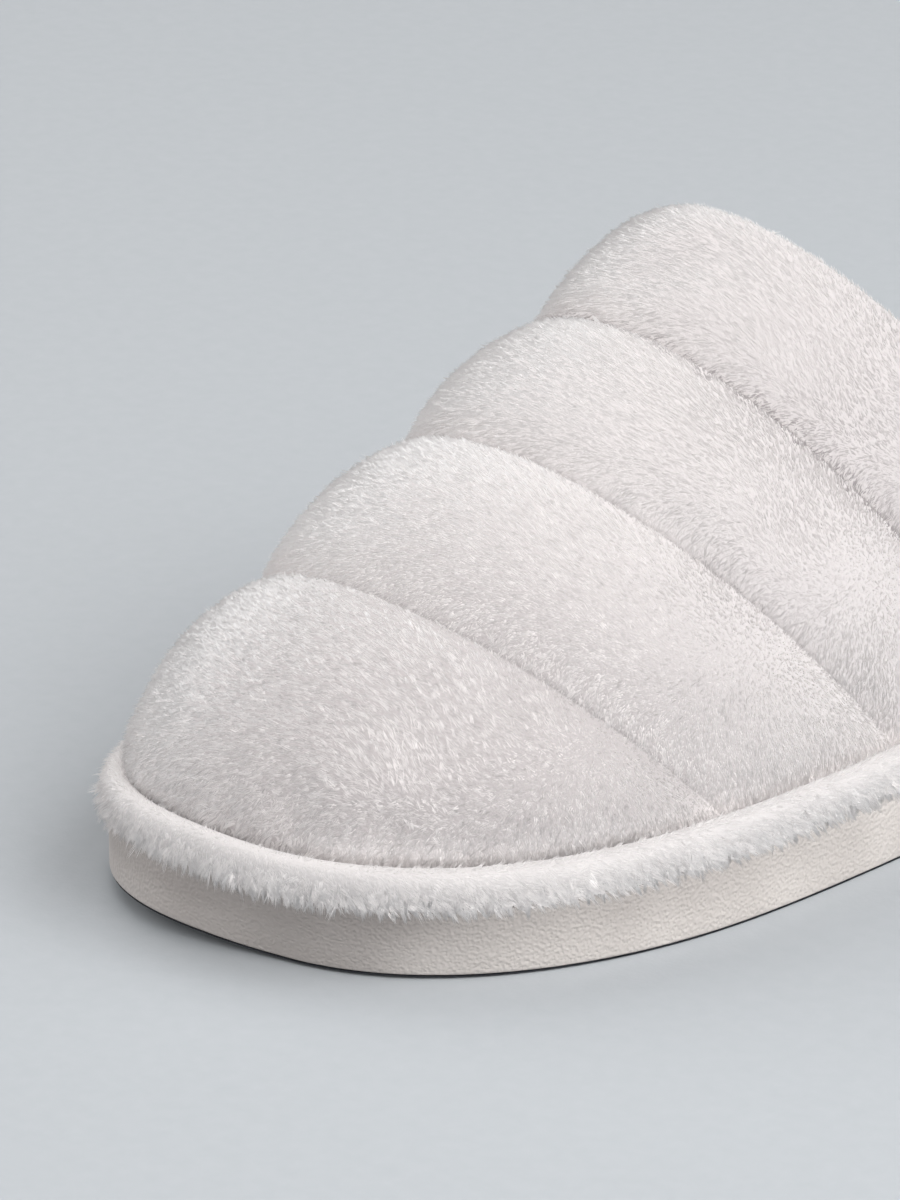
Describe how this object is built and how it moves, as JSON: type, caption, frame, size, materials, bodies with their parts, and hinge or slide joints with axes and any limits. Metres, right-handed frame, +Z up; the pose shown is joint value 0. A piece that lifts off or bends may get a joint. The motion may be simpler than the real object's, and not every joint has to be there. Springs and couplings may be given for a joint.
{
  "type": "house slipper",
  "caption": "Open-backed plush house slipper with a quilted padded upper, a plush roll round the sole's edge and a wrapped platform sole.",
  "frame": {"origin": "on the floor, under the middle of the slipper's box", "axes": "+Z up, +Y from the toe to the heel, +X to the wearer's left"},
  "size_m": [0.0996, 0.2555, 0.0849],
  "materials": {
    "outsole_rubber": "matte dark sheet",
    "wall_leather": "pale greige synthetic leather, fine pebble grain, soft satin",
    "footbed_plush": "short pale grey plush",
    "rand_plush": "shaggy pale grey plush",
    "upper_plush": "short pale warm grey plush, quilted"
  },
  "bodies": {
    "root": {"outsole": "outsole_rubber", "midsole": "wall_leather", "insole": "footbed_plush", "rand": "rand_plush", "upper": "upper_plush"}
  },
  "joints": []
}
